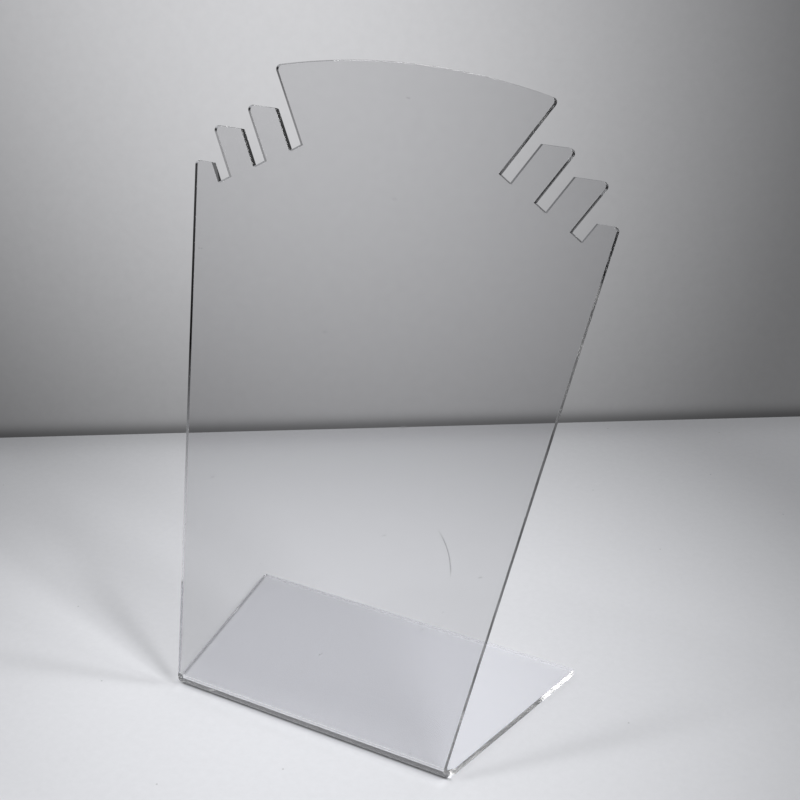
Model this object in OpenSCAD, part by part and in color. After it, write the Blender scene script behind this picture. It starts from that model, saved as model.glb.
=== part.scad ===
// Clear display stand for necklaces, cut from one flat sheet and folded once.
// A bust-shaped panel leans back over a flat foot. The panel widens from the fold up
// to two shoulders and ends in a fan with a curved top. Slanted slots on both sides
// part the fan, the fingers and the shoulders, and hold the chains.
// +X is to the right as seen from the front, +Y goes back along the foot, +Z is up.

/* [Sheet] */
// Thickness of the sheet
sheet_t = 3.4; // [2:0.1:5]
// Inner radius of the fold between panel and foot
fold_ri = 2.6; // [1.5:0.1:8]
// Lean of the panel back from upright, in degrees
lean = 19.5; // [8:0.5:30]

/* [Panel] */
// Width at the fold, where the panel is narrowest
waist_w = 150; // [120:1:180]
// Width across the top corners of the shoulders
shoulder_w = 219.3; // [210:0.1:240]
// Width of each shoulder's level top, from its corner to the outermost slot
shoulder_top = 9.7; // [7:0.1:13]
// Height of the shoulders, measured up the panel from the fold
shoulder_h = 251.6; // [180:0.1:320]
// Rise of the outer finger's top above the shoulders
outer_rise = 17.9; // [12:0.1:22]
// Rise of the inner finger's top above the shoulders
inner_rise = 29.7; // [24:0.1:36]
// Rise of the fan's crown above the shoulders
fan_rise = 57.3; // [48:0.1:75]
// Radius of the fan's curved top
fan_r = 338.7; // [200:0.1:500]
// Radius of the rounded outer corners
corner_r = 2.2; // [0.5:0.1:3.5]

/* [Slots] */
// Width of each slot
slot_w = 6.9; // [5:0.1:9]
// Lean of the slots out from the centre line, in degrees
slot_lean = 31.2; // [26:0.1:36]
// Width of the finger between two slots
finger_w = 14.2; // [10:0.1:17]
// Length of the outermost slot's outer wall, from the shoulder's top to the slot's bottom
slot_len = 10.5; // [8:0.1:14]
// How much deeper, along its walls, each slot is cut than the next one outside it
slot_step = 1.15; // [0:0.05:4]

/* [Foot] */
// Length of the foot from the front of the fold to its back edge
foot_l = 105.8; // [80:0.1:140]
// Width of the foot at its back edge
foot_w = 188; // [160:1:220]
// How far the foot's sides stand out past each end of the fold
fold_inset = 1.5; // [0.5:0.1:4]
// Length of the short slanted corners that run from the foot's sides into the fold
ease_l = 2; // [1:0.1:6]
// Radius of the rounded back corners
foot_corner_r = 1; // [0.5:0.1:10]

/* [Hidden] */
$fn = 96;

fold_ro = fold_ri + sheet_t;
foot_back = foot_l - fold_ro;

// Rounded corners and the fold reach past the flat sides that they join by a hair, so
// that they meet them in clean lines
hair = 0.001;
fold_reach = 2 * fold_ro;
fold_on = (acos(1 - hair / fold_ri) + acos(1 - hair / fold_ro)) / 2;
panel_start = (sqrt(2 * fold_ri * hair) + sqrt(2 * fold_ro * hair)) / 2;

// Heights up the panel, from the end of the fold
outer_h = shoulder_h + outer_rise;
inner_h = shoulder_h + inner_rise;
fan_h = shoulder_h + fan_rise;
fan_centre = [0, fan_h - fan_r];

// Middle of the foot's length, fold included, where the origin is
mid_y = foot_l / 2 - fold_ro;

// The slots have their own directions: across their walls (q) and along them (b)
across = [cos(slot_lean), -sin(slot_lean)];
along = [sin(slot_lean), cos(slot_lean)];
slot_pitch = finger_w + slot_w;
shoulder_in = [shoulder_w / 2 - shoulder_top, shoulder_h];
// Outer wall, inner wall and bottom of slot k, counted from the outermost
function wall_out(k) = shoulder_in * across - k * slot_pitch;
function wall_in(k) = wall_out(k) - slot_w;
function slot_b(k) = shoulder_in * along - slot_len - k * slot_step;
// Point at across q and along b, and the point of wall q at height v
function qb(q, b) = q * across + b * along;
function at_height(q, v) = [(q + v * along[0]) / along[1], v];

// A corner p between its neighbours a and c is rounded by a circle of radius r
function unit(d) = d / norm(d);
function bisector(a, p, c) = unit(unit(a - p) + unit(c - p));
function half_angle(a, p, c) = acos(unit(a - p) * unit(c - p)) / 2;
function side_len(a, p, c, r) = (r - hair) / tan(half_angle(a, p, c));
function round_centre(a, p, c, r) = p + (r - hair) / sin(half_angle(a, p, c)) * bisector(a, p, c);
function corner_patch(a, p, c, r) = [
    round_centre(a, p, c, r),
    p + side_len(a, p, c, r) * unit(a - p),
    p - r * bisector(a, p, c),
    p + side_len(a, p, c, r) * unit(c - p),
];

// Corners of the right half of the panel, from the fold out and up to the fan
waist = [waist_w / 2 - hair, -panel_start];
shoulder = [shoulder_w / 2, shoulder_h];
slot_0_out = qb(wall_out(0), slot_b(0));
slot_0_in = qb(wall_in(0), slot_b(0));
outer_tip = at_height(wall_in(0), outer_h);
outer_in = at_height(wall_out(1), outer_h);
slot_1_out = qb(wall_out(1), slot_b(1));
slot_1_in = qb(wall_in(1), slot_b(1));
inner_tip = at_height(wall_in(1), inner_h);
inner_in = at_height(wall_out(2), inner_h);
slot_2_out = qb(wall_out(2), slot_b(2));
slot_2_in = qb(wall_in(2), slot_b(2));

fan_out = at_height(wall_in(2), fan_h + 1);

panel_half = [
    waist,
    shoulder,
    shoulder_in,
    slot_0_out,
    slot_0_in,
    outer_tip,
    outer_in,
    slot_1_out,
    slot_1_in,
    inner_tip,
    inner_in,
    slot_2_out,
    slot_2_in,
    fan_out,
];

// The fan's corner lies between the last slot's inner wall and the curved top
fan_q = wall_in(2) - corner_r + hair;
fan_dq = fan_q - fan_centre * across;
fan_b = fan_centre * along + sqrt(pow(fan_r - corner_r + hair, 2) - pow(fan_dq, 2));
fan_dw = wall_in(2) - fan_centre * across;
fan_tip = qb(wall_in(2), fan_centre * along + sqrt(pow(fan_r, 2) - pow(fan_dw, 2)));
fan_round = qb(fan_q, fan_b);
fan_patch = [
    fan_round,
    qb(wall_in(2), fan_b),
    2 * fan_tip - fan_round,
    fan_centre + fan_r * unit(fan_round - fan_centre),
];

// Corners of the right half of the foot, from the fold to the back
foot_front = [waist_w / 2, 0];
foot_line = [waist_w / 2 + fold_inset, 0];
foot_corner = [foot_w / 2, foot_back];
foot_eased = foot_line + (foot_corner - foot_line) * ease_l / foot_back;
foot_middle = [0, foot_back];

foot_half = [foot_front, foot_eased, foot_corner];

function flip(p) = [-p[0], p[1]];
function both_halves(half) = concat(half, [for (i = [len(half) - 1:-1:0]) flip(half[i])]);

// Waste outside a rounded corner, on both halves
module waste(patch, r) {
    for (side = [0, 1])
        mirror([side, 0])
            difference() {
                polygon(patch);
                translate(patch[0])
                    circle(r = r);
            }
}

module panel_outline() {
    difference() {
        intersection() {
            polygon(both_halves(panel_half));
            translate(fan_centre)
                circle(r = fan_r);
        }
        waste(corner_patch(waist, shoulder, shoulder_in, corner_r), corner_r);
        waste(corner_patch(slot_0_in, outer_tip, outer_in, corner_r), corner_r);
        waste(corner_patch(slot_1_in, inner_tip, inner_in, corner_r), corner_r);
        waste(fan_patch, corner_r);
    }
}

module foot_outline() {
    difference() {
        polygon(both_halves(foot_half));
        waste(corner_patch(foot_eased, foot_corner, foot_middle, foot_corner_r), foot_corner_r);
    }
}

// Panel in place. It sits a hair further in than the fold's walls and starts inside them,
// and the fold runs on inside the panel, so that their faces cross in clean lines.
module panel() {
    rotate([90 - lean, 0, 0])
        translate([0, 0, fold_ri - hair])
            linear_extrude(height = sheet_t)
                panel_outline();
}

// Part of a ring around the X axis, from straight down round to the panel
module fold() {
    translate([-waist_w / 2, 0, 0])
        rotate([90, 0, 90])
            linear_extrude(height = waist_w)
                intersection() {
                    difference() {
                        circle(r = fold_ro);
                        circle(r = fold_ri);
                    }
                    polygon([
                        [0, 0],
                        [0, -fold_reach],
                        [-fold_reach, -fold_reach],
                        [-fold_reach, fold_reach * tan(lean + fold_on)],
                    ]);
                }
}

module foot() {
    translate([0, 0, -fold_ro])
        linear_extrude(height = sheet_t)
            foot_outline();
}

module stand() {
    color([0.86, 0.89, 0.9, 0.35])
        translate([0, -mid_y, fold_ro])
            union() {
                panel();
                fold();
                foot();
            }
}

stand();
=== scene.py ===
"""Looks of a clear display stand for necklaces, cut from one flat sheet and folded once.

The flat blank is drawn from the stand's sizes, and Geometry Nodes give it its thickness and
fold it. Everything is in metres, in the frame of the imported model: +X to the right as seen
from the front, +Y back along the foot, +Z up, with the floor at zero.
"""

import math

import bmesh
import bpy
from mathutils import Matrix, Vector


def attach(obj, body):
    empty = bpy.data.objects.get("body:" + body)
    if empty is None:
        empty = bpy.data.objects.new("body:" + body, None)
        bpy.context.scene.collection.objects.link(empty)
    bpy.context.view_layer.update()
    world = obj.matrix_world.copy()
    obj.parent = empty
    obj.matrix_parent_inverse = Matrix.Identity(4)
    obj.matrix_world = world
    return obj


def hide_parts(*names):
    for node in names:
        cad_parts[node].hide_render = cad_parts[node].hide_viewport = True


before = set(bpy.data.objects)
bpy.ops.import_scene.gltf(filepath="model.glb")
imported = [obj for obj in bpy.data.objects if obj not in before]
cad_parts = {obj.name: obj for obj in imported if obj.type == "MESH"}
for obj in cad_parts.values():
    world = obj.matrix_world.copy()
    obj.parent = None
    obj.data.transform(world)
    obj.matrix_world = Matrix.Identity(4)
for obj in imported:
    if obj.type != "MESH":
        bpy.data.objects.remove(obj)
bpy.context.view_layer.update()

bl_info = {
    "name": "Folded Display Stand",
    "version": (1, 0, 0),
    "blender": (4, 5, 0),
    "location": "View3D > Sidebar > Display Stand",
    "description": "A clear display stand for necklaces, folded from one flat sheet",
    "category": "Add Mesh",
}

MM = 0.001
# Attribute that keeps each point's place on the flat blank: x and y on it, z into the sheet
BLANK_PLACE = "blank_place"
# Points of the blank closer than this are one
MERGED = 1e-6
# Detail and roughness of the mottling, and the share of a speck's radius that is solid
MOTTLE_DETAIL = (5.0, 0.65)
SPECK_SOLID = 0.5


def length(name, description, default):
    """A length in metres that the sidebar shows with its unit."""
    return bpy.props.FloatProperty(
        name=name, description=description, default=default, min=0.0, precision=5, unit="LENGTH"
    )


def angle(name, description, degrees):
    """An angle, given here in degrees."""
    return bpy.props.FloatProperty(
        name=name, description=description, default=math.radians(degrees), unit="ROTATION"
    )


def colour(name, description, default):
    """A colour without alpha."""
    return bpy.props.FloatVectorProperty(
        name=name, description=description, default=default, size=3, min=0.0, max=1.1,
        subtype="COLOR",
    )


def amount(name, description, default, top=1.0):
    """A plain number from zero."""
    return bpy.props.FloatProperty(
        name=name, description=description, default=default, min=0.0, max=top
    )


class StandSheet(bpy.types.PropertyGroup):
    """Sizes of the blank and of its fold."""

    thickness: length("Thickness", "Thickness of the sheet", 3.4 * MM)
    fold_radius: length("Fold radius", "Inner radius of the fold", 2.6 * MM)
    lean: angle("Lean", "Lean of the panel back from upright", 19.5)
    waist: length("Waist", "Width of the panel at the fold", 150 * MM)
    shoulders: length("Shoulders", "Width across the shoulders' top corners", 219.3 * MM)
    shoulder_top: length("Shoulder top", "Width of each shoulder's level top", 9.7 * MM)
    shoulder_height: length("Shoulder height", "Height of the shoulders up the panel", 251.6 * MM)
    outer_rise: length("Outer rise", "Rise of the outer fingers over the shoulders", 17.9 * MM)
    inner_rise: length("Inner rise", "Rise of the inner fingers over the shoulders", 29.7 * MM)
    fan_rise: length("Fan rise", "Rise of the fan's crown over the shoulders", 57.3 * MM)
    fan_radius: length("Fan radius", "Radius of the fan's curved top", 338.7 * MM)
    corner_radius: length("Corner radius", "Radius of the rounded outer corners", 2.2 * MM)
    slot_width: length("Slot width", "Width of each slot", 6.9 * MM)
    slot_lean: angle("Slot lean", "Lean of the slots out from the middle line", 31.2)
    finger_width: length("Finger width", "Width of the fingers across the slots", 14.2 * MM)
    slot_length: length("Slot length", "Length of the outermost slot's outer wall", 10.5 * MM)
    slot_step: length("Slot step", "How much deeper each slot is than the next one out", 1.15 * MM)
    foot_length: length("Foot length", "From the front of the fold to the back edge", 105.8 * MM)
    foot_width: length("Foot width", "Width of the foot at its back edge", 188 * MM)
    fold_inset: length("Fold inset", "How far the foot's sides pass the fold's ends", 1.5 * MM)
    ease_length: length("Ease length", "Length of the slanted corners at the fold", 2 * MM)
    foot_corner: length("Foot corner", "Radius of the foot's back corners", 1 * MM)
    arris: length("Arris", "Width of the broken edge along each cut", 0.05 * MM)
    fold_steps: bpy.props.IntProperty(
        name="Fold steps", description="Facets round the fold", default=36, min=6, max=90
    )
    corner_steps: bpy.props.IntProperty(
        name="Corner steps", description="Facets round each corner", default=10, min=3, max=30
    )


class StandFinish(bpy.types.PropertyGroup):
    """Finish of the sheet's faces and of its cut edges."""

    tint: colour("Tint", "What the clear sheet lets through", (0.862, 0.862, 0.868))
    ior: amount("Refraction", "Index of refraction of the acrylic", 1.49, 2.5)
    gloss: amount("Face roughness", "Roughness of the sheet's own faces", 0.0)
    smudge: amount("Smudge roughness", "Roughness of the faces in their faint smudges", 0.2)
    cut: amount("Cut roughness", "Roughness of the laser-cut edges", 0.06)


class StandStage(bpy.types.PropertyGroup):
    """Camera, floor, backdrop and light."""

    azimuth: angle("Azimuth", "Camera's turn to the right of the stand's front", 29.374)
    elevation: angle("Elevation", "Camera's height above the horizon", 24.593)
    distance: length("Distance", "From the camera to the point it looks at", 0.588)
    lens: bpy.props.FloatProperty(
        name="Lens", description="Focal length in millimetres", default=64.174, min=10.0
    )
    floor: colour("Floor", "Colour of the paper floor where it is brightest", (0.98, 0.99, 1.03))
    wall: colour("Backdrop", "Colour of the backdrop", (0.99, 0.992, 1.019))
    far: colour("Far tone", "Tone of the floor and the room far away", (0.62, 0.62, 0.63))
    sky: amount("Sky light", "Share of the light that comes from all round", 0.80, 2.0)
    lamps: amount("Lamp light", "Strength of all the lamps together", 1.0, 5.0)
    foot_lit: amount("Foot glow", "How much brighter the lit paper under the foot is", 1.90, 3.0)
    foot_shaded: amount("Shaded foot glow", "The same in the panel's shadow", 1.65, 3.0)
    windows: amount("Window light", "Strength of the bright parts of the dark room", 1.0, 10.0)


# The flat blank


def unit(a, b):
    """Direction from a to b."""
    return (b - a).normalized()


def arc(centre, start, end, steps):
    """Points on the shorter arc from start to end, both included."""
    first, last = start - centre, end - centre
    turn = first.angle_signed(last)
    return [centre + (Matrix.Rotation(-turn * k / steps, 2) @ first) for k in range(steps + 1)]


def rounded(a, p, c, radius, steps):
    """The corner p between a and c, rounded."""
    way_a, way_c = unit(p, a), unit(p, c)
    half = way_a.angle(way_c) / 2
    reach = radius / math.tan(half)
    centre = p + (way_a + way_c).normalized() * radius / math.sin(half)
    return arc(centre, p + way_a * reach, p + way_c * reach, steps)


def panel_edge(s):
    """Right half of the panel's outline, from the fold up to the middle of the fan's top."""
    across = Vector((math.cos(s.slot_lean), -math.sin(s.slot_lean)))
    along = Vector((math.sin(s.slot_lean), math.cos(s.slot_lean)))
    waist = Vector((s.waist / 2, 0))
    shoulder = Vector((s.shoulders / 2, s.shoulder_height))
    shoulder_in = shoulder - Vector((s.shoulder_top, 0))
    wall = shoulder_in.dot(across)
    bottom = shoulder_in.dot(along) - s.slot_length
    steps = s.corner_steps

    def at(q, b):
        return across * q + along * b

    def on_wall(q, height):
        return Vector(((q + height * along.x) / along.y, height))

    edge = [waist, *rounded(waist, shoulder, shoulder_in, s.corner_radius, steps), shoulder_in]
    for rise in (s.outer_rise, s.inner_rise, None):
        inner = wall - s.slot_width
        edge += [at(wall, bottom), at(inner, bottom)]
        if rise is None:
            break
        next_wall = inner - s.finger_width
        height = s.shoulder_height + rise
        tip, root = on_wall(inner, height), on_wall(next_wall, height)
        edge += rounded(at(inner, bottom), tip, root, s.corner_radius, steps) + [root]
        wall, bottom = next_wall, bottom - s.slot_step

    crown = Vector((0, s.shoulder_height + s.fan_rise))
    centre = crown - Vector((0, s.fan_radius))
    q = inner - s.corner_radius
    far = s.fan_radius - s.corner_radius
    side = q - centre.dot(across)
    corner = at(q, centre.dot(along) + math.sqrt(far * far - side * side))
    shoulder_of_fan = centre + unit(centre, corner) * s.fan_radius
    edge += arc(corner, corner + across * s.corner_radius, shoulder_of_fan, steps)
    edge += arc(centre, shoulder_of_fan, crown, 6 * steps)[1:]
    return edge


def foot_edge(s):
    """Right half of the foot's outline, from the fold to the middle of the back edge."""
    back = s.foot_length - s.fold_radius - s.thickness
    line = Vector((s.waist / 2 + s.fold_inset, 0))
    corner = Vector((s.foot_width / 2, back))
    eased = line + (corner - line) * s.ease_length / back
    middle = Vector((0, back))
    return [
        Vector((s.waist / 2, 0)),
        eased,
        *rounded(eased, corner, middle, s.foot_corner, s.corner_steps),
        middle,
    ]


def fold_length(s):
    """Length of flat sheet that the fold takes up, measured half-way through it."""
    return (math.pi / 2 + s.lean) * (s.fold_radius + s.thickness / 2)


def blank_mesh(s):
    """The flat blank: the panel towards -Y, the fold from y = 0, and the foot after it."""
    bm = bmesh.new()
    length_of_fold, side = fold_length(s), s.waist / 2
    rows = [
        [bm.verts.new((x, length_of_fold * k / s.fold_steps, 0)) for x in (-side, side)]
        for k in range(s.fold_steps + 1)
    ]
    for (a, b), (d, c) in zip(rows, rows[1:]):
        bm.faces.new((a, b, c, d))

    def outline(edge, place, ends):
        half = [place(p) for p in edge[1:]]
        right = [bm.verts.new((x, y, 0)) for x, y in half]
        left = [bm.verts.new((-x, y, 0)) for x, y in half[:-1]]
        return [ends[1], *right, *reversed(left), ends[0]]

    panel = outline(panel_edge(s), lambda p: (p.x, -p.y), rows[0])
    foot = outline(foot_edge(s), lambda p: (p.x, length_of_fold + p.y), rows[-1])
    bm.faces.new(reversed(panel))
    bm.faces.new(foot)
    mesh = bpy.data.meshes.new("flat_blank")
    bm.to_mesh(mesh)
    bm.free()
    return mesh


# Nodes


def add(tree, kind, inputs=None, **settings):
    """A node with its settings and inputs. An input is a value, or another node's output."""
    node = tree.nodes.new(kind)
    for name, value in settings.items():
        setattr(node, name, value)
    for name, value in (inputs or {}).items():
        if isinstance(value, bpy.types.NodeSocket):
            tree.links.new(value, node.inputs[name])
        else:
            node.inputs[name].default_value = value
    return node


def maths(tree, operation, a, b=0.0):
    """The result of a Math node."""
    return add(tree, "ShaderNodeMath", {0: a, 1: b}, operation=operation).outputs[0]


def product(tree, value, *others):
    """All the values multiplied, from the first to the last."""
    for other in others:
        value = maths(tree, "MULTIPLY", value, other)
    return value


def times_plus(tree, a, b, c):
    """A times b, plus c."""
    return add(tree, "ShaderNodeMath", {0: a, 1: b, 2: c}, operation="MULTIPLY_ADD").outputs[0]


def at_least(tree, value, least, softness):
    """The value, eased up where it would fall below the least."""
    return add(
        tree, "ShaderNodeMath", {0: value, 1: least, 2: softness}, operation="SMOOTH_MAX"
    ).outputs[0]


def choose(tree, factor, a, b):
    """A where the factor is zero, b where it is one."""
    return add(tree, "ShaderNodeMix", {0: factor, 2: a, 3: b}, data_type="FLOAT").outputs[0]


def ramp(tree, value, low, high, to_low=0.0, to_high=1.0):
    """A smooth step of the value, from low to high."""
    return add(
        tree, "ShaderNodeMapRange",
        {"Value": value, "From Min": low, "From Max": high, "To Min": to_low, "To Max": to_high},
        interpolation_type="SMOOTHSTEP",
    ).outputs[0]


def dip(tree, distance, reach, depth):
    """One, less a depth that fades away as the distance passes the reach."""
    near = maths(tree, "DIVIDE", distance, reach)
    fade = maths(tree, "EXPONENT", product(tree, near, near, -1.0))
    return maths(tree, "SUBTRACT", 1.0, product(tree, fade, depth))


def parts(tree, vector):
    """The X, Y and Z of a vector."""
    return add(tree, "ShaderNodeSeparateXYZ", {0: vector}).outputs


def vectors(tree, operation, a, b):
    """The result of a Vector Math node on two vectors."""
    return add(tree, "ShaderNodeVectorMath", {0: a, 1: b}, operation=operation).outputs[0]


def dot(tree, a, b):
    """The dot product of two vectors."""
    return add(tree, "ShaderNodeVectorMath", {0: a, 1: b}, operation="DOT_PRODUCT").outputs["Value"]


def span(tree, vector):
    """The length of a vector."""
    return add(tree, "ShaderNodeVectorMath", {0: vector}, operation="LENGTH").outputs["Value"]


def scaled(tree, shade, level):
    """A colour times a level."""
    return add(
        tree, "ShaderNodeVectorMath", {0: shade, "Scale": level}, operation="SCALE"
    ).outputs[0]


def noise(tree, place, per_metre, detail, roughness=0.5):
    """Softly varying values from zero to one."""
    return add(
        tree, "ShaderNodeTexNoise",
        {"Vector": place, "Scale": per_metre, "Detail": detail, "Roughness": roughness},
    ).outputs[0]


def mottled(tree, place, per_metre, strength):
    """A level about one that varies softly, as the tone of paper does."""
    varied = noise(tree, place, per_metre, *MOTTLE_DETAIL)
    return times_plus(tree, varied, strength, 1.0 - strength / 2)


def specks(tree, place, per_metre, radius, share):
    """One on small round specks, which only a share of the pattern's cells has."""
    cells = add(
        tree, "ShaderNodeTexVoronoi", {"Vector": place, "Scale": per_metre},
        voronoi_dimensions="2D",
    ).outputs
    pick = add(tree, "ShaderNodeSeparateColor", {0: cells["Color"]}).outputs[0]
    edge = radius * per_metre
    spot = ramp(tree, cells["Distance"], edge * SPECK_SOLID, edge, 1.0, 0.0)
    return product(tree, spot, maths(tree, "LESS_THAN", pick, share))


def folding_tree(face, cut):
    """Geometry Nodes that thicken a flat blank and fold it round the X axis.

    A point at y on the blank and z into the sheet turns round the fold's axis by its share
    of the fold's length, and goes straight on past either end of it. Each point keeps its
    place on the flat blank as an attribute, which the finishes follow.
    """
    tree = bpy.data.node_groups.new("fold_flat_sheet", "GeometryNodeTree")
    tree.interface.new_socket("Geometry", in_out="OUTPUT", socket_type="NodeSocketGeometry")
    tree.interface.new_socket("Blank", in_out="INPUT", socket_type="NodeSocketGeometry")
    for name in ("Thickness", "Fold radius", "Fold angle", "Fold length", "Back shift"):
        tree.interface.new_socket(name, in_out="INPUT", socket_type="NodeSocketFloat")
    given = add(tree, "NodeGroupInput").outputs

    offset = add(tree, "ShaderNodeCombineXYZ", {"Z": given["Thickness"]}).outputs[0]
    raised = add(
        tree, "GeometryNodeExtrudeMesh",
        {"Mesh": given["Blank"], "Offset": offset, "Offset Scale": 1.0, "Individual": False},
        mode="FACES",
    ).outputs
    under = add(tree, "GeometryNodeFlipFaces", {"Mesh": given["Blank"]}).outputs[0]
    both = add(tree, "GeometryNodeJoinGeometry")
    for part in (raised["Mesh"], under):
        tree.links.new(part, both.inputs[0])
    slab = add(
        tree, "GeometryNodeMergeByDistance", {"Geometry": both.outputs[0], "Distance": MERGED}
    ).outputs[0]

    place = add(tree, "GeometryNodeInputPosition").outputs[0]
    marked = add(
        tree, "GeometryNodeStoreNamedAttribute",
        {"Geometry": slab, "Name": BLANK_PLACE, "Value": place},
        data_type="FLOAT_VECTOR", domain="POINT",
    ).outputs[0]
    flat = parts(tree, place)
    turn = add(
        tree, "ShaderNodeMapRange",
        {"Value": flat["Y"], "From Max": given["Fold length"], "To Min": given["Fold angle"],
         "To Max": 0.0},
    ).outputs[0]
    in_fold = add(
        tree, "ShaderNodeClamp", {"Value": flat["Y"], "Max": given["Fold length"]}
    ).outputs[0]
    beyond = maths(tree, "SUBTRACT", flat["Y"], in_fold)
    outer = maths(tree, "ADD", given["Fold radius"], given["Thickness"])
    radius = maths(tree, "SUBTRACT", outer, flat["Z"])
    sine, cosine = maths(tree, "SINE", turn), maths(tree, "COSINE", turn)
    back = maths(
        tree, "SUBTRACT", product(tree, beyond, cosine), product(tree, radius, sine)
    )
    drop = maths(tree, "ADD", product(tree, radius, cosine), product(tree, beyond, sine))
    folded = add(
        tree, "ShaderNodeCombineXYZ",
        {"X": flat["X"], "Y": maths(tree, "SUBTRACT", back, given["Back shift"]),
         "Z": maths(tree, "SUBTRACT", outer, drop)},
    ).outputs[0]
    bent = add(tree, "GeometryNodeSetPosition", {"Geometry": marked, "Position": folded}).outputs[0]
    real = add(tree, "GeometryNodeRealizeInstances", {"Geometry": bent}).outputs[0]
    faced = add(tree, "GeometryNodeSetMaterial", {"Geometry": real, "Material": face}).outputs[0]
    edged = add(
        tree, "GeometryNodeSetMaterial",
        {"Geometry": faced, "Selection": raised["Side"], "Material": cut},
    ).outputs[0]
    add(tree, "NodeGroupOutput", {0: edged})
    return tree


# Finishes


# A fine curved scratch on the panel's front: its circle on the blank, where along the blank
# it ends, how far it fades there, how far from the circle it is full and gone, its strength
SCRATCH_CENTRE, SCRATCH_RADIUS = Vector((0.0317, -0.0832, 0)), 0.0302
SCRATCH_LOW, SCRATCH_HIGH, SCRATCH_FADE = -0.107, -0.085, 0.006
SCRATCH_FULL, SCRATCH_GONE = 0.0001, 0.0006
SCRATCH_STRENGTH = 0.8
# Dust on the faces: cells in a metre, radius of a speck, share of cells with one, strength
DUST = (40.0, 0.0004, 0.14)
DUST_STRENGTH = 0.9
# What a face's tint comes down to where it is scratched or dusty
MARKED_TINT = 0.4
# Smudges on the faces: waves in a metre, their detail, and where they start and are full
SMUDGE_NOISE = (30.0, 3.0)
SMUDGE_START, SMUDGE_FULL = 0.60, 0.78
# Cut edges: waves in a metre and depth of their uneven tint
EDGE_MOTTLE = (60.0, 0.03)
# The laser's lines: waves in a metre, their detail, and their low and high values
EDGE_NOISE = (2600.0, 2.0)
EDGE_LOW, EDGE_HIGH = 0.3, 0.7
# Share of the cut edges' roughness in the smoothest and in the roughest of these lines
EDGE_SMOOTHEST, EDGE_ROUGHEST = 0.6, 1.4
# Edges that turn more than this are broken, and the shading stays sharp at more than this
ARRIS_ANGLE, SHARP_ANGLE = math.radians(40), math.radians(30)


def new_material(name):
    """An empty node material and its tree."""
    material = bpy.data.materials.new(name)
    material.use_nodes = True
    material.node_tree.nodes.clear()
    return material, material.node_tree


def acrylic(name, finish, tint, roughness):
    """Clear acrylic, whose tint and roughness are made by the given functions."""
    material, tree = new_material(name)
    blank = add(tree, "ShaderNodeAttribute", attribute_name=BLANK_PLACE).outputs["Vector"]
    shader = add(
        tree, "ShaderNodeBsdfPrincipled",
        {"Base Color": tint(tree, blank, finish), "Roughness": roughness(tree, blank, finish),
         "IOR": finish.ior, "Transmission Weight": 1.0},
    )
    add(tree, "ShaderNodeOutputMaterial", {"Surface": shader.outputs[0]})
    return material


def face_marks(tree, blank, finish):
    """The face's tint, with a little dust and one fine curved scratch on the panel."""
    flat = parts(tree, blank)
    level = add(tree, "ShaderNodeCombineXYZ", {"X": flat["X"], "Y": flat["Y"]}).outputs[0]
    reach = span(tree, vectors(tree, "SUBTRACT", level, SCRATCH_CENTRE))
    off = maths(tree, "ABSOLUTE", maths(tree, "SUBTRACT", reach, SCRATCH_RADIUS))
    ends = product(
        tree, ramp(tree, flat["Y"], SCRATCH_LOW, SCRATCH_LOW + SCRATCH_FADE),
        ramp(tree, flat["Y"], SCRATCH_HIGH - SCRATCH_FADE, SCRATCH_HIGH, 1.0, 0.0),
    )
    # Only on the outer face, and on the circle's right half
    front = product(
        tree, maths(tree, "LESS_THAN", flat["Z"], MM),
        maths(tree, "GREATER_THAN", flat["X"], SCRATCH_CENTRE.x),
    )
    line = ramp(tree, off, SCRATCH_FULL, SCRATCH_GONE, 1.0, 0.0)
    scratch = product(tree, line, ends, front, SCRATCH_STRENGTH)
    dust = product(tree, specks(tree, blank, *DUST), DUST_STRENGTH)
    marks = maths(tree, "MAXIMUM", scratch, dust)
    return scaled(tree, finish.tint, choose(tree, marks, 1.0, MARKED_TINT))


def face_smudges(tree, blank, finish):
    """The face's roughness, raised in faint smudges left by handling."""
    varied = noise(tree, blank, *SMUDGE_NOISE)
    return ramp(tree, varied, SMUDGE_START, SMUDGE_FULL, finish.gloss, finish.smudge)


def edge_tint(tree, blank, finish):
    """The cut edges' tint, a little uneven along the cut."""
    return scaled(tree, finish.tint, mottled(tree, blank, *EDGE_MOTTLE))


def edge_lines(tree, blank, finish):
    """The cut edges' roughness, in the fine lines that the laser leaves across the thickness."""
    along = vectors(tree, "MULTIPLY", blank, (1.0, 1.0, 0.0))
    varied = noise(tree, along, *EDGE_NOISE)
    smoothest, roughest = finish.cut * EDGE_SMOOTHEST, finish.cut * EDGE_ROUGHEST
    return ramp(tree, varied, EDGE_LOW, EDGE_HIGH, smoothest, roughest)


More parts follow.
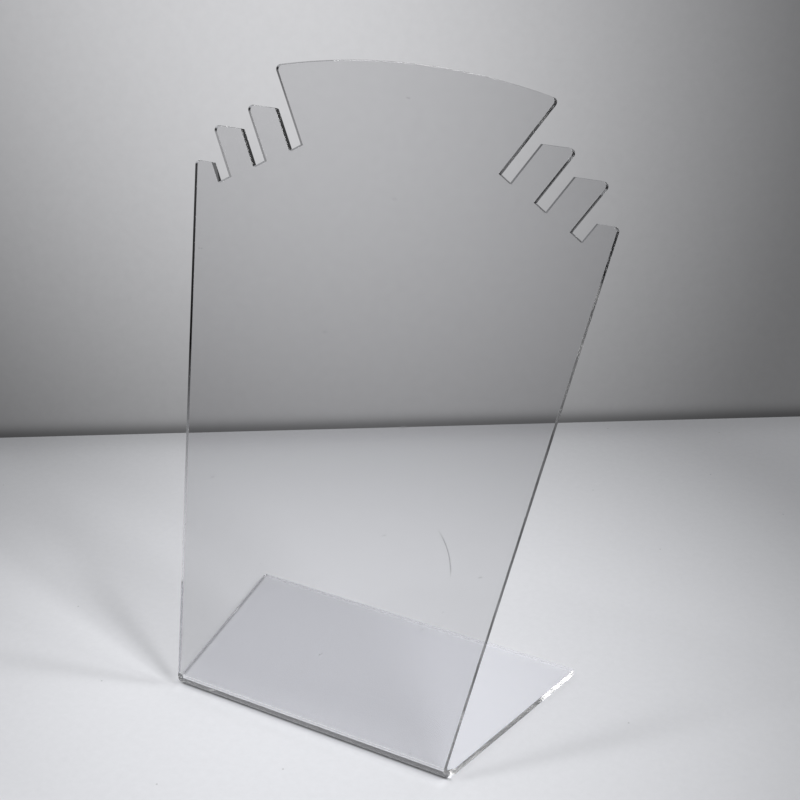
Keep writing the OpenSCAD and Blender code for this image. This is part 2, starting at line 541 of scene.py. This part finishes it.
class STAND_OT_fold_sheet(bpy.types.Operator):
    """Cut the blank and fold it into the stand"""

    bl_idname = "display_stand.fold_sheet"
    bl_label = "Fold the sheet"

    def execute(self, context):
        s, finish = context.scene.stand_sheet, context.scene.stand_finish
        face = acrylic("clear_acrylic_face", finish, face_marks, face_smudges)
        cut = acrylic("clear_acrylic_cut_edge", finish, edge_tint, edge_lines)
        blank = bpy.data.objects.new("flat_blank", blank_mesh(s))
        context.scene.collection.objects.link(blank)

        folding = blank.modifiers.new("fold", "NODES")
        folding.node_group = folding_tree(face, cut)
        values = {
            "Thickness": s.thickness,
            "Fold radius": s.fold_radius,
            "Fold angle": math.pi / 2 + s.lean,
            "Fold length": fold_length(s),
            "Back shift": s.foot_length / 2 - s.fold_radius - s.thickness,
        }
        for socket in folding.node_group.interface.items_tree:
            if socket.name in values:
                folding[socket.identifier] = values[socket.name]
        bevel = blank.modifiers.new("arris", "BEVEL")
        bevel.width, bevel.segments = s.arris, 1
        bevel.limit_method, bevel.angle_limit = "ANGLE", ARRIS_ANGLE
        bevel.use_clamp_overlap = False

        mesh = evaluated_mesh(context, blank, "stand_sheet")
        mesh.shade_smooth()
        mesh.set_sharp_from_angle(angle=SHARP_ANGLE)
        piece = bpy.data.objects.new("stand_sheet", mesh)
        context.scene.collection.objects.link(piece)
        weighted = piece.modifiers.new("flat_faces", "WEIGHTED_NORMAL")
        weighted.keep_sharp = True
        piece.data = evaluated_mesh(context, piece, "stand_sheet")
        piece.modifiers.clear()
        bpy.data.objects.remove(blank)
        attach(piece, "root")
        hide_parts("stand")
        return {"FINISHED"}


def evaluated_mesh(context, ob, name):
    """A plain mesh of what an object's modifiers make of it."""
    ready = ob.evaluated_get(context.evaluated_depsgraph_get())
    mesh = bpy.data.meshes.new_from_object(ready)
    mesh.name = name
    if not mesh.polygons:
        raise RuntimeError(f"{ob.name} came out empty")
    return mesh


# Stage


# The camera: where it looks, the picture's shift, the sensor's width, the nearest and furthest
# that it sees
CAMERA_TARGET = Vector((0.048845, -0.0469, 0.18354))
CAMERA_SHIFT, SENSOR_WIDTH = -0.00125, 36.0
CAMERA_NEAR, CAMERA_FAR = 0.01, 50.0
# How often light turns inside the sheet, and how often it passes through it
TURNS_INSIDE, PASSES_THROUGH = 128, 64

# The floor lies just clear of the sheet, and reaches this far each way
FLOOR_LEVEL, FLOOR_REACH = -0.00015, 6.0
# Six weights of the pool of light on it, the pool's centre, and the line in front of which it
# keeps the level that it has there
FLOOR_POOL = (-0.241, -0.117, 0.382, -8.335, -2.413, -7.064)
FLOOR_CENTRE = (0, -0.0469, 0)
FRONT_KEPT = -0.10
# Lowest level of the pool as seen straight, its softness, and where it fades to the far tone
FLOOR_LEAST = (0.28, 0.06)
FLOOR_FADE = (0.5, 1.4)
# Tone of the paper: waves in a metre and depth of its mottling, and then its specks of dirt:
# cells in a metre, radius, share of cells with one, and what they leave of the tone
FLOOR_MOTTLE = (260.0, 0.09)
DIRT = (16.0, 0.0006, 0.45)
DIRT_SHADE = 0.7
PAPER_ROUGHNESS = 0.9

# The backdrop: where its foot passes, which way it runs, how far each way and how far up
WALL_FOOT = Vector((-0.1248, 0.2622, 0))
WALL_ALONG = Vector((0.8398, 0.5429, 0))
WALL_REACH, WALL_HEIGHT = 2, 1.5
# Its pool of light, lowest level and mottling, as for the floor
WALL_POOL = (-1.102, -0.648, 4.001, -12.56, -4.143, -6.851)
WALL_LEAST = (0.14, 0.05)
WALL_MOTTLE = (170.0, 0.09)
# Where it fades away along it and up it, and where reflections in the sheet see it end
WALL_SIDES, WALL_TOP = (0.32, 0.75), (0.33, 0.75)
WALL_END = (0.32, 0.38)
# Painted shade where backdrop and floor meet: how far each darkens towards the other, and how much
WALL_SEAM_SHADE = (0.0075, 0.60)
FLOOR_SEAM_SHADE = (0.022, 0.17)

# Share of the light that is left after two reflections or more in the sheet
DEEP_SHARE = 0.3
# Lamps: turn from +X, height, share of the light on the floor, how wide the lamp looks
LAMPS = (
    (212, 66, 0.03, 3),
    (345, 44, 0.08, 8),
    (359, 44, 0.10, 6),
    (20, 44, 0.07, 5),
)
# Sky: its share near the floor's level, the height by which it is full, and what brings the
# light of the whole sky on the floor back to one
SKY_LOW, SKY_RISE, SKY_EVEN = 0.3, 0.8, 1.155
# Bright parts of the dark room: turn from +X, height, bright out to, gone at, level
WINDOWS = (
    (15, 40, 25, 35, 5.0),
    (195, 42, 18, 32, 0.7),
    (252, 38, 8, 16, 0.35),
)

# Glow of the paper under the foot: softness of its edge, and how far it reaches past the
# foot's back edge and in front of the fold's end
FOOT_GLOW_EDGE = 0.0015
FOOT_BACK_GLOW, FOLD_FRONT_GLOW = 0.0012, 0.0035
# Contact shadow in the wedge between the fold and the floor, from front to back, and how far
# it takes to end on either side of the waist's ends
FOLD_SHADE = 0.88
FOLD_WEDGE = (-0.0509, -0.0494, -0.0490, -0.0482)
WEDGE_WITHIN, WEDGE_PAST = 0.001, 0.003
# Light that the fold throws on the paper at its foot: where, how far, and how much as seen
# past the sheet and through it
FOLD_GLOW = (-0.0525, 0.0045, 0.13, 0.25)
# Edge of the panel's shadow on the foot: a point of it and its direction, then its softness
# there and how much softer it gets in a metre
SHADOW_START = Vector((0.075, -0.050, 0))
SHADOW_ALONG = Vector((-0.615, 0.788, 0))
SHADOW_SOFT = (0.006, 0.45)
# Lines cast by the panel's edges: a point of each, its direction, its depth, its length
STREAKS = (
    (Vector((-0.075, -0.0529, 0)), Vector((-0.891, 0.454, 0)), 0.16, 0.16),
    (Vector((-0.075, -0.0529, 0)), Vector((-0.966, -0.26, 0)), 0.11, 0.16),
    (Vector((0.075, -0.0529, 0)), Vector((0.630, 0.777, 0)), 0.10, 0.17),
)
# Their width there and how much wider they get in a metre, how far on they start, and the
# share of their length at which they begin to fade
STREAK_WIDTH = (0.0015, 0.09)
STREAK_START = (0.004, 0.015)
STREAK_KEPT = 0.4


def direction(turn, rise):
    """Direction turned from +X and raised from level, both in degrees."""
    turn, rise = math.radians(turn), math.radians(rise)
    level = math.cos(rise)
    return Vector((math.cos(turn) * level, math.sin(turn) * level, math.sin(rise)))


def square_to(way):
    """Level direction square to another, to its right."""
    return Vector((way.y, -way.x, 0))


def pool_of_light(tree, u, v, weights):
    """Brightness that falls off smoothly from a centre: a power of a quadratic of u and v."""
    level, along_u, along_v, square_u, cross, square_v = weights
    total = level
    for weight, a, b in (
        (along_u, u, 1.0), (along_v, v, 1.0), (square_u, u, u), (cross, u, v), (square_v, v, v),
    ):
        total = times_plus(tree, product(tree, a, b), weight, total)
    return maths(tree, "EXPONENT", total)


def bounced(tree, kind, times=1):
    """One for light paths with this many bounces of a kind or more, zero for others."""
    depth = add(tree, "ShaderNodeLightPath").outputs[kind + " Depth"]
    return maths(tree, "GREATER_THAN", depth, times - 0.5)


def not_bounced(tree, kind):
    """One for light paths without a bounce of a kind, zero for others."""
    depth = add(tree, "ShaderNodeLightPath").outputs[kind + " Depth"]
    return maths(tree, "LESS_THAN", depth, 0.5)


def inside_sheet(tree):
    """One for what is seen by reflection in the sheet, zero for what is seen straight."""
    return product(tree, bounced(tree, "Glossy"), not_bounced(tree, "Diffuse"))


def deep_share(tree):
    """The share of light that is left as seen by reflection in the sheet."""
    return choose(tree, bounced(tree, "Glossy", 2), 1.0, DEEP_SHARE)


def beside_line(tree, place, start, way, widths):
    """How far a place is along a line on the floor, and how far beside it in its widths."""
    from_start = vectors(tree, "SUBTRACT", place, start)
    along = dot(tree, from_start, way)
    narrow, spread = widths
    width = times_plus(tree, maths(tree, "MAXIMUM", along, 0.0), spread, narrow)
    return along, maths(tree, "DIVIDE", dot(tree, from_start, square_to(way)), width)


def panel_shadow(tree, place):
    """One on the foot where the leaning panel shades it, softer further from the fold."""
    aside = beside_line(tree, place, SHADOW_START, SHADOW_ALONG, SHADOW_SOFT)[1]
    return ramp(tree, aside, -0.5, 0.5, 1.0, 0.0)


def under_foot(tree, place, s):
    """One on the floor that the foot covers, and zero outside it."""
    flat = parts(tree, place)
    back = s.foot_length / 2
    front = s.fold_radius + s.thickness - back
    half = add(
        tree, "ShaderNodeMapRange",
        {"Value": flat["Y"], "From Min": front, "From Max": back,
         "To Min": s.waist / 2 + s.fold_inset, "To Max": s.foot_width / 2},
    ).outputs[0]
    side = maths(tree, "SUBTRACT", half, maths(tree, "ABSOLUTE", flat["X"]))
    ends = maths(
        tree, "MINIMUM", maths(tree, "SUBTRACT", flat["Y"], front - FOLD_FRONT_GLOW),
        maths(tree, "SUBTRACT", back + FOOT_BACK_GLOW, flat["Y"]),
    )
    return ramp(tree, maths(tree, "MINIMUM", side, ends), 0.0, FOOT_GLOW_EDGE)


def foot_glow(tree, place, st, s):
    """How much brighter the floor is for the light that the foot throws on it."""
    foot = choose(tree, panel_shadow(tree, place), st.foot_lit, st.foot_shaded)
    return choose(tree, under_foot(tree, place, s), 1.0, foot)


def fold_light(tree, place, s):
    """Level of the paper along the fold: dark in the wedge below it, brighter in front."""
    flat = parts(tree, place)
    front, dark, lit, back = FOLD_WEDGE
    half = s.waist / 2
    ends = ramp(
        tree, maths(tree, "ABSOLUTE", flat["X"]), half - WEDGE_WITHIN, half + WEDGE_PAST, 1.0, 0.0
    )
    uncovered = not_bounced(tree, "Transmission")
    shade = product(
        tree, ramp(tree, flat["Y"], front, dark), ramp(tree, flat["Y"], lit, back, 1.0, 0.0),
        ends, uncovered, FOLD_SHADE,
    )
    where, far, past, through = FOLD_GLOW
    much = choose(tree, uncovered, -through, -past)
    glow = dip(tree, maths(tree, "SUBTRACT", flat["Y"], where), far, much)
    return product(tree, choose(tree, ends, 1.0, glow), maths(tree, "SUBTRACT", 1.0, shade))


def edge_streaks(tree, place):
    """Level of the floor in the dark lines that the panel's edges cast on it."""
    level = 1.0
    for start, way, depth, reach in STREAKS:
        along, aside = beside_line(tree, place, start, way, STREAK_WIDTH)
        kept = product(
            tree, ramp(tree, along, *STREAK_START),
            ramp(tree, along, reach * STREAK_KEPT, reach, 1.0, 0.0),
        )
        level = product(tree, level, choose(tree, kept, 1.0, dip(tree, aside, 1.0, depth)))
    return level


def floor_material(st, s):
    """Paper floor, brightest in front of the stand, and of the far tone far away."""
    material, tree = new_material("paper_floor")
    own = add(tree, "ShaderNodeTexCoord").outputs["Object"]
    place = vectors(tree, "SUBTRACT", own, FLOOR_CENTRE)
    flat = parts(tree, place)
    kept = maths(tree, "MAXIMUM", flat["Y"], FRONT_KEPT)
    soft = at_least(tree, pool_of_light(tree, flat["X"], kept, FLOOR_POOL), *FLOOR_LEAST)
    seen = choose(tree, ramp(tree, span(tree, place), *FLOOR_FADE), soft, st.far[0])
    pool = pool_of_light(tree, flat["X"], flat["Y"], FLOOR_POOL)
    inner = product(tree, pool, deep_share(tree))
    to_wall = dot(tree, vectors(tree, "SUBTRACT", own, WALL_FOOT), square_to(WALL_ALONG))
    level = product(
        tree, choose(tree, inside_sheet(tree), seen, inner),
        foot_glow(tree, own, st, s),
        fold_light(tree, own, s),
        # painted shade on the floor, darker towards the backdrop's foot
        dip(tree, to_wall, *FLOOR_SEAM_SHADE),
        edge_streaks(tree, own),
        mottled(tree, own, *FLOOR_MOTTLE),
        choose(tree, specks(tree, own, *DIRT), 1.0, DIRT_SHADE),
    )
    shader = add(
        tree, "ShaderNodeBsdfPrincipled",
        {"Base Color": scaled(tree, st.floor, level), "Roughness": PAPER_ROUGHNESS,
         "Specular IOR Level": 0.0},
    )
    add(tree, "ShaderNodeOutputMaterial", {"Surface": shader.outputs[0]})
    return material


def wall_material(st):
    """Backdrop with a soft pool of light, which fades away at its ends and from behind."""
    material, tree = new_material("backdrop")
    place = add(tree, "ShaderNodeTexCoord").outputs["Object"]
    along = dot(tree, vectors(tree, "SUBTRACT", place, WALL_FOOT), WALL_ALONG)
    height = parts(tree, place)["Z"]
    pool = pool_of_light(tree, along, height, WALL_POOL)
    seen = at_least(tree, pool, *WALL_LEAST)
    inside = inside_sheet(tree)
    inner = product(tree, pool, ramp(tree, height, *WALL_END, 1.0, 0.0), deep_share(tree))
    level = product(
        tree, choose(tree, inside, seen, inner),
        # painted shade on the backdrop, darker towards the floor
        dip(tree, height, *WALL_SEAM_SHADE),
        mottled(tree, place, *WALL_MOTTLE),
    )
    glow = add(tree, "ShaderNodeEmission", {"Color": scaled(tree, st.wall, level)}).outputs[0]
    shown = product(
        tree, ramp(tree, maths(tree, "ABSOLUTE", along), *WALL_SIDES, 1.0, 0.0),
        ramp(tree, height, *WALL_TOP, 1.0, 0.0),
        maths(tree, "SUBTRACT", 1.0, add(tree, "ShaderNodeNewGeometry").outputs["Backfacing"]),
    )
    clear = add(tree, "ShaderNodeBsdfTransparent").outputs[0]
    cover = maths(tree, "MAXIMUM", shown, inside)
    mix = add(tree, "ShaderNodeMixShader", {0: cover, 1: clear, 2: glow}).outputs[0]
    add(tree, "ShaderNodeOutputMaterial", {"Surface": mix})
    material.cycles.emission_sampling = "NONE"
    return material


def room_world(st):
    """Pale light from above, and inside the sheet's edges a dark room with bright parts."""
    world = bpy.data.worlds.new("room")
    world.use_nodes = True
    tree = world.node_tree
    tree.nodes.clear()
    path = add(tree, "ShaderNodeLightPath").outputs
    through = maths(tree, "MAXIMUM", path["Is Glossy Ray"], path["Is Transmission Ray"])
    inside = product(tree, through, inside_sheet(tree))
    straight = maths(
        tree, "MAXIMUM", path["Is Camera Ray"],
        product(tree, through, not_bounced(tree, "Diffuse")),
    )
    way = add(tree, "ShaderNodeTexCoord").outputs["Generated"]
    dark = 0.0
    for turn, rise, bright, gone, strength in WINDOWS:
        near = dot(tree, way, direction(turn, rise))
        low, high = math.cos(math.radians(gone)), math.cos(math.radians(bright))
        window = ramp(tree, near, low, high, 0.0, strength * st.windows)
        dark = maths(tree, "ADD", window, dark)
    full = SKY_EVEN * st.sky
    above = ramp(tree, parts(tree, way)["Z"], 0.0, SKY_RISE, SKY_LOW * full, full)
    pale = choose(tree, straight, above, st.far[0])
    level = choose(tree, inside, pale, dark)
    light = add(tree, "ShaderNodeBackground", {"Color": (1, 1, 1, 1), "Strength": level})
    add(tree, "ShaderNodeOutputWorld", {"Surface": light.outputs[0]})
    return world


def stage_sheet(context, name, corners, material):
    """A flat four-cornered stage object."""
    mesh = bpy.data.meshes.new(name)
    mesh.from_pydata(corners, [], [range(4)])
    mesh.materials.append(material)
    ob = bpy.data.objects.new(name, mesh)
    context.scene.collection.objects.link(ob)
    return ob


def place_camera(scene, st):
    """The camera, where the stage's settings put it."""
    lens = bpy.data.cameras.new("camera")
    lens.lens, lens.sensor_width, lens.shift_y = st.lens, SENSOR_WIDTH, CAMERA_SHIFT
    lens.clip_start, lens.clip_end = CAMERA_NEAR, CAMERA_FAR
    camera = bpy.data.objects.new("camera", lens)
    scene.collection.objects.link(camera)
    scene.camera = camera
    away = Vector((
        math.sin(st.azimuth) * math.cos(st.elevation),
        -math.cos(st.azimuth) * math.cos(st.elevation),
        math.sin(st.elevation),
    ))
    camera.location = CAMERA_TARGET + away * st.distance
    camera.rotation_mode = "QUATERNION"
    camera.rotation_quaternion = away.to_track_quat("Z", "Y")


def place_lamp(scene, st, name, turn, rise, share, width):
    """A lamp far away, which lights the floor with its share of the light."""
    towards = direction(turn, rise)
    sun = bpy.data.lights.new(name, "SUN")
    sun.energy, sun.angle = share * st.lamps * math.pi / towards.z, math.radians(width)
    lamp = bpy.data.objects.new(name, sun)
    lamp.rotation_mode = "QUATERNION"
    lamp.rotation_quaternion = towards.to_track_quat("Z", "Y")
    lamp.visible_glossy = lamp.visible_transmission = False
    scene.collection.objects.link(lamp)


class STAND_OT_stage(bpy.types.Operator):
    """Set up the camera, floor, backdrop and light"""

    bl_idname = "display_stand.stage"
    bl_label = "Set the stage"

    def execute(self, context):
        scene, st = context.scene, context.scene.stand_stage
        scene.view_settings.view_transform = "Standard"
        # Light runs along inside the clear sheet to its edges, and through it to the floor
        scene.cycles.max_bounces = scene.cycles.glossy_bounces = TURNS_INSIDE
        scene.cycles.transmission_bounces = PASSES_THROUGH
        scene.cycles.blur_glossy = 0.0
        place_camera(scene, st)

        far, low = FLOOR_REACH, FLOOR_LEVEL
        stage_sheet(
            context, "floor",
            [(-far, -far, low), (far, -far, low), (far, far, low), (-far, far, low)],
            floor_material(st, scene.stand_sheet),
        )
        foot = WALL_FOOT + Vector((0, 0, low))
        a, b = foot - WALL_ALONG * WALL_REACH, foot + WALL_ALONG * WALL_REACH
        up = Vector((0, 0, WALL_HEIGHT))
        wall = stage_sheet(context, "backdrop", [a, b, b + up, a + up], wall_material(st))
        wall.visible_diffuse = wall.visible_shadow = False

        for k, lamp in enumerate(LAMPS):
            place_lamp(scene, st, f"lamp_{k}", *lamp)
        scene.world = room_world(st)
        return {"FINISHED"}


class STAND_PT_sidebar(bpy.types.Panel):
    """The stand's sizes, finish and stage"""

    bl_label = "Display Stand"
    bl_idname = "STAND_PT_sidebar"
    bl_space_type = "VIEW_3D"
    bl_region_type = "UI"
    bl_category = "Display Stand"

    def draw(self, context):
        groups = (
            (context.scene.stand_sheet, None),
            (context.scene.stand_finish, STAND_OT_fold_sheet),
            (context.scene.stand_stage, STAND_OT_stage),
        )
        for group, button in groups:
            box = self.layout.box()
            for name in group.__annotations__:
                box.prop(group, name)
            if button:
                box.operator(button.bl_idname)


CLASSES = (
    StandSheet, StandFinish, StandStage, STAND_OT_fold_sheet, STAND_OT_stage, STAND_PT_sidebar,
)


def register():
    for each in CLASSES:
        bpy.utils.register_class(each)
    bpy.types.Scene.stand_sheet = bpy.props.PointerProperty(type=StandSheet)
    bpy.types.Scene.stand_finish = bpy.props.PointerProperty(type=StandFinish)
    bpy.types.Scene.stand_stage = bpy.props.PointerProperty(type=StandStage)


def unregister():
    del bpy.types.Scene.stand_stage
    del bpy.types.Scene.stand_finish
    del bpy.types.Scene.stand_sheet
    for each in reversed(CLASSES):
        bpy.utils.unregister_class(each)


def main():
    register()
    bpy.ops.display_stand.fold_sheet()
    bpy.ops.display_stand.stage()


if __name__ == "__main__":
    main()
